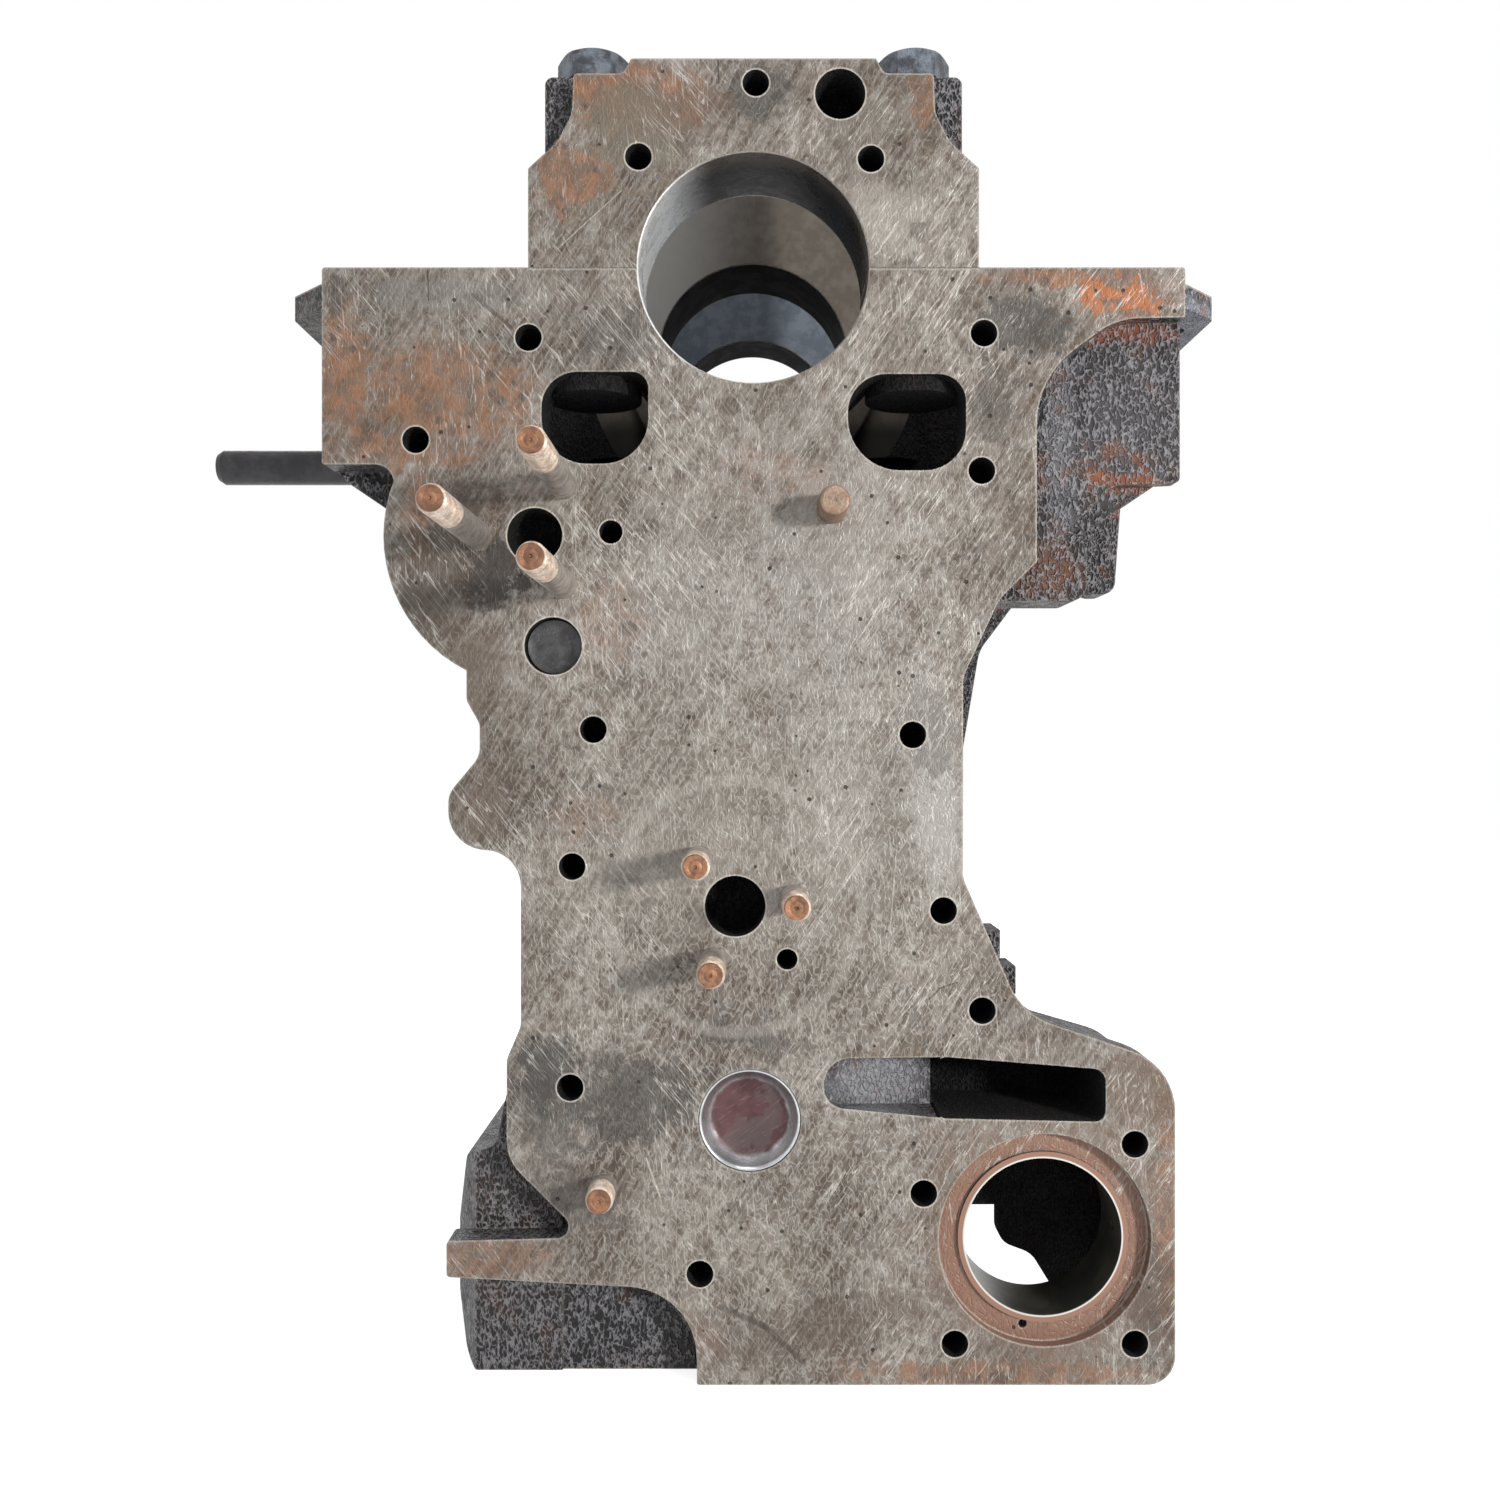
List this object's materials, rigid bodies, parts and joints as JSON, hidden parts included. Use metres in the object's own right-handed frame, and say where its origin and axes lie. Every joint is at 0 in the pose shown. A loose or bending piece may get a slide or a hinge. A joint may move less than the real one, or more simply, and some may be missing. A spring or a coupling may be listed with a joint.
{
  "type": "engine block",
  "caption": "Upside-down cast-iron block of a two-cylinder diesel engine, with main bearing caps, cap bolts, idler studs, dowels, core plugs and a bushed pump bore.",
  "frame": {"origin": "on the crank axis, in the plane of the machined front face", "axes": "+Y back along the crank axis, +Z from the crank to the sump face, +X to the right when the front face is looked at; the part stands on its cylinder-head deck"},
  "size_m": [0.397, 0.3655, 0.4909],
  "materials": {
    "block_iron": "machined faces, worn and lightly rusted, with dark rough-cast walls",
    "cap_iron": "machined front, dark forged-looking cast sides",
    "bolt_steel": "black-finished high-tensile bolt",
    "stud_steel": "plain steel, rusty thread and end",
    "dowel_steel": "ground steel, lightly rusted",
    "plug_steel": "bright pressed steel with old sealant",
    "gallery_plug_steel": "dull grey steel",
    "bush_steel": "grey steel with a bright edge",
    "rod_steel": "blackened steel"
  },
  "bodies": {
    "root": {"cylinder_block": "block_iron", "front_main_cap": "cap_iron", "main_cap_2": "cap_iron", "rear_main_cap": "cap_iron", "main_cap_bolt_1_left": "bolt_steel", "main_cap_bolt_1_right": "bolt_steel", "main_cap_bolt_2_left": "bolt_steel", "main_cap_bolt_2_right": "bolt_steel", "main_cap_bolt_3_left": "bolt_steel", "main_cap_bolt_3_right": "bolt_steel", "long_idler_stud_1": "stud_steel", "short_idler_stud_1": "stud_steel", "side_core_plug_1": "plug_steel", "long_idler_stud_2": "stud_steel", "short_idler_stud_2": "stud_steel", "side_core_plug_2": "plug_steel", "long_idler_stud_3": "stud_steel", "short_idler_stud_3": "stud_steel", "cover_stud": "stud_steel", "timing_case_dowel": "dowel_steel", "gallery_plug": "gallery_plug_steel", "front_core_plug": "plug_steel", "pump_bush": "bush_steel", "side_rod": "rod_steel", "deck_dowel_1": "dowel_steel", "deck_dowel_2": "dowel_steel", "rear_dowel_left": "dowel_steel", "rear_dowel_right": "dowel_steel"}
  },
  "joints": []
}
